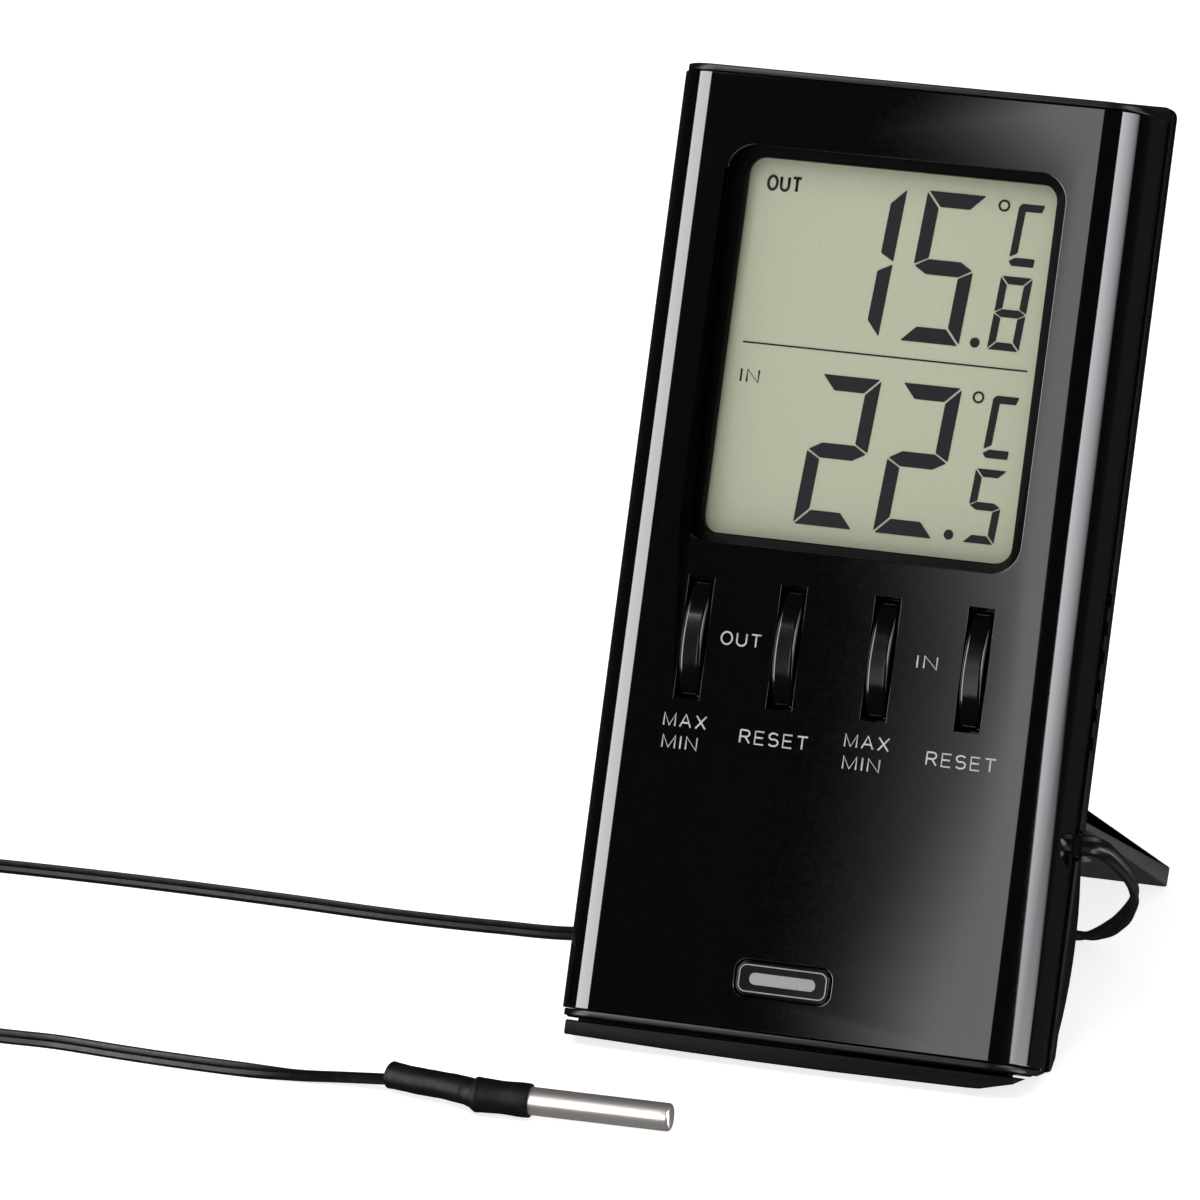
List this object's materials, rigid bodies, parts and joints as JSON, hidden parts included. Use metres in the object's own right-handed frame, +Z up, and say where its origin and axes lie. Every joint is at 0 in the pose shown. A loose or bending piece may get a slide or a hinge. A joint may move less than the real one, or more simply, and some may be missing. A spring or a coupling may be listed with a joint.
{
  "type": "maximum minimum thermometer",
  "caption": "Slim upright digital maximum minimum thermometer on a folding leg, with a display over keys and an outdoor probe on a long lead.",
  "frame": {"origin": "centre of the footprint on the table, measured without the free lead", "axes": "+Z up, +X to the right when looking at the display, +Y towards the back, where the leg stands"},
  "size_m": [0.2039, 0.1102, 0.1157],
  "materials": {
    "gloss_black": "high gloss",
    "badge_silver": "satin",
    "housing_black": "satin",
    "cover_black": "fine texture",
    "lcd_glass": "clear, polished",
    "lcd_reflector": "grey-green, even",
    "connector_rubber": "matte",
    "board_green": "satin",
    "epoxy_black": "satin",
    "zinc_steel": "zinc plated",
    "key_black": "satin gloss",
    "switch_grey": "matte",
    "cell_jacket": "printed jacket, plain",
    "nickel": "nickel plated",
    "wire_black": "satin",
    "wire_red": "satin",
    "wire_grey": "satin",
    "lead_black": "satin",
    "sleeve_black": "satin",
    "tie_black": "satin",
    "stainless_steel": "brushed"
  },
  "bodies": {
    "case": {"front_fascia": "gloss_black", "badge_plate": "badge_silver", "front_housing": "housing_black", "rear_cover": "cover_black", "lcd_glass": "lcd_glass", "lcd_reflector": "lcd_reflector", "lcd_connector_lower": "connector_rubber", "lcd_connector_upper": "connector_rubber", "circuit_board": "board_green", "chip_blob": "epoxy_black", "indoor_thermistor": "epoxy_black", "probe_thermistor": "epoxy_black", "case_screw_upper_left": "zinc_steel", "case_screw_upper_right": "zinc_steel", "case_screw_lower_left": "zinc_steel", "case_screw_lower_right": "zinc_steel", "board_screw_left": "zinc_steel", "board_screw_right": "zinc_steel", "out_max_min_switch": "switch_grey", "out_reset_switch": "switch_grey", "in_max_min_switch": "switch_grey", "in_reset_switch": "switch_grey", "aaa_battery": "cell_jacket", "battery_spring": "nickel", "battery_plate": "nickel", "battery_wire_black": "wire_black", "battery_wire_red": "wire_red", "sensor_wire_upper": "wire_grey", "sensor_wire_lower": "wire_black", "sensor_lead_inner": "lead_black", "lead_bush": "lead_black", "sensor_lead_run": "lead_black", "sensor_lead_coil": "lead_black", "sensor_lead_probe_run": "lead_black", "heat_shrink_rear": "sleeve_black", "heat_shrink_front": "sleeve_black", "lead_tie": "tie_black", "probe_tube": "stainless_steel"},
    "battery_door": {"battery_door": "cover_black"},
    "stand": {"stand": "cover_black"},
    "out_max_min_key": {"out_max_min_key": "key_black"},
    "out_reset_key": {"out_reset_key": "key_black"},
    "in_max_min_key": {"in_max_min_key": "key_black"},
    "in_reset_key": {"in_reset_key": "key_black"}
  },
  "joints": [
    {"name": "stand_hinge", "type": "hinge", "parent": "case", "child": "stand", "pos_m": [0, -0.01574, 0.03248], "axis": [1, 0, 0], "range_deg": [0, 96.6]},
    {"name": "battery_door_slide", "type": "slide", "parent": "case", "child": "battery_door", "axis": [0, 0.9257, -0.3783], "range_m": [0, 0.012]},
    {"name": "out_max_min_press", "type": "slide", "parent": "case", "child": "out_max_min_key", "axis": [0, 0.9257, -0.3783], "range_m": [0, 0.0006], "stiffness_N_per_m": 1500, "springref_m": -0.0002},
    {"name": "out_reset_press", "type": "slide", "parent": "case", "child": "out_reset_key", "axis": [0, 0.9257, -0.3783], "range_m": [0, 0.0006], "stiffness_N_per_m": 1500, "springref_m": -0.0002},
    {"name": "in_max_min_press", "type": "slide", "parent": "case", "child": "in_max_min_key", "axis": [0, 0.9257, -0.3783], "range_m": [0, 0.0006], "stiffness_N_per_m": 1500, "springref_m": -0.0002},
    {"name": "in_reset_press", "type": "slide", "parent": "case", "child": "in_reset_key", "axis": [0, 0.9257, -0.3783], "range_m": [0, 0.0006], "stiffness_N_per_m": 1500, "springref_m": -0.0002}
  ]
}
